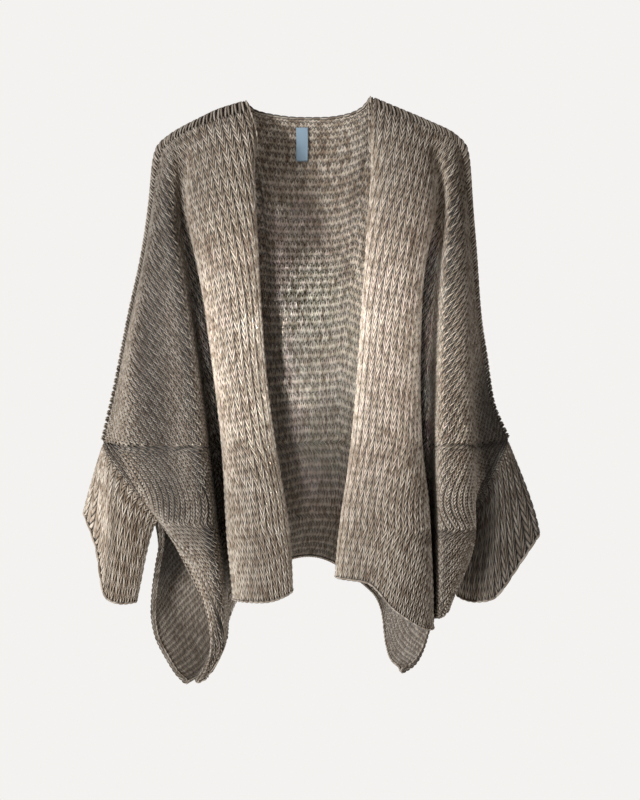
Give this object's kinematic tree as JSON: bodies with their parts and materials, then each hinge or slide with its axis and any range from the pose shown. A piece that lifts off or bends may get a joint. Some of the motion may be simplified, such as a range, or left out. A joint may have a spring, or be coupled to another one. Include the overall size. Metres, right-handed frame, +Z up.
{
  "type": "cardigan",
  "caption": "Open-fronted batwing cardigan in thick stockinette knit, hanging hollow from its shoulders, with wide draped wings, short sleeve bands and a blank label inside the back neck.",
  "frame": {"origin": "midway between the neck ends of the two shoulder seams, where a pair of shoulders carries the garment", "axes": "+X towards the wearer's left, +Y towards the back, +Z up; the front of the garment faces -Y"},
  "size_m": [0.6388, 0.2731, 0.8184],
  "materials": {
    "knit": "marled beige-brown wool-blend knit, fuzzy",
    "label": "pale blue woven ribbon, blank"
  },
  "bodies": {
    "root": {"front_right": "knit", "front_left": "knit", "back": "knit", "sleeve_right": "knit", "sleeve_left": "knit", "neck_label": "label"}
  },
  "joints": []
}
